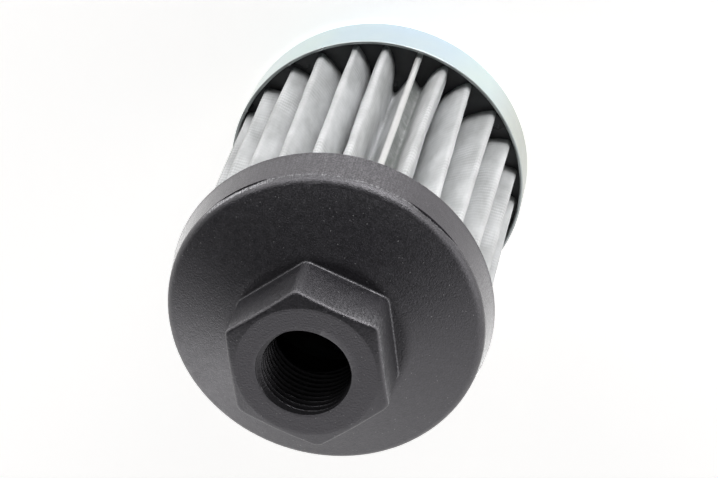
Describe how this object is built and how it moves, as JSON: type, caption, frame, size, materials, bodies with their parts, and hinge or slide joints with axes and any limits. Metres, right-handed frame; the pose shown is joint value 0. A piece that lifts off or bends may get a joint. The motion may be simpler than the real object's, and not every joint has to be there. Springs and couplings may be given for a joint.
{
  "type": "suction filter",
  "caption": "Hydraulic tank suction filter: pleated wire cloth between a black threaded hexagon end cap and a closed pressed steel cap.",
  "frame": {"origin": "centre of the closed end's outside face, where the filter stands", "axes": "+Z along the filter's axis from the closed end to the threaded port, +X and -X out of two of the hexagon's flats, Y through two of its corners"},
  "size_m": [0.07, 0.07, 0.1016],
  "materials": {
    "black_nylon": "moulded glass-filled nylon, fine grain, satin",
    "zinc_plated_steel": "bright zinc plating with a pale blue passivate",
    "steel_wire_cloth": "fine woven stainless wire cloth",
    "clip_steel": "plain bright steel strip",
    "core_steel": "plain perforated steel sheet",
    "potting_resin": "cast dark resin with a settled surface"
  },
  "bodies": {
    "root": {"threaded_end_cap": "black_nylon", "closed_end_cap": "zinc_plated_steel", "pleated_mesh": "steel_wire_cloth", "seam_clip": "clip_steel", "core_tube": "core_steel", "closed_end_resin": "potting_resin", "port_end_resin": "potting_resin"}
  },
  "joints": []
}
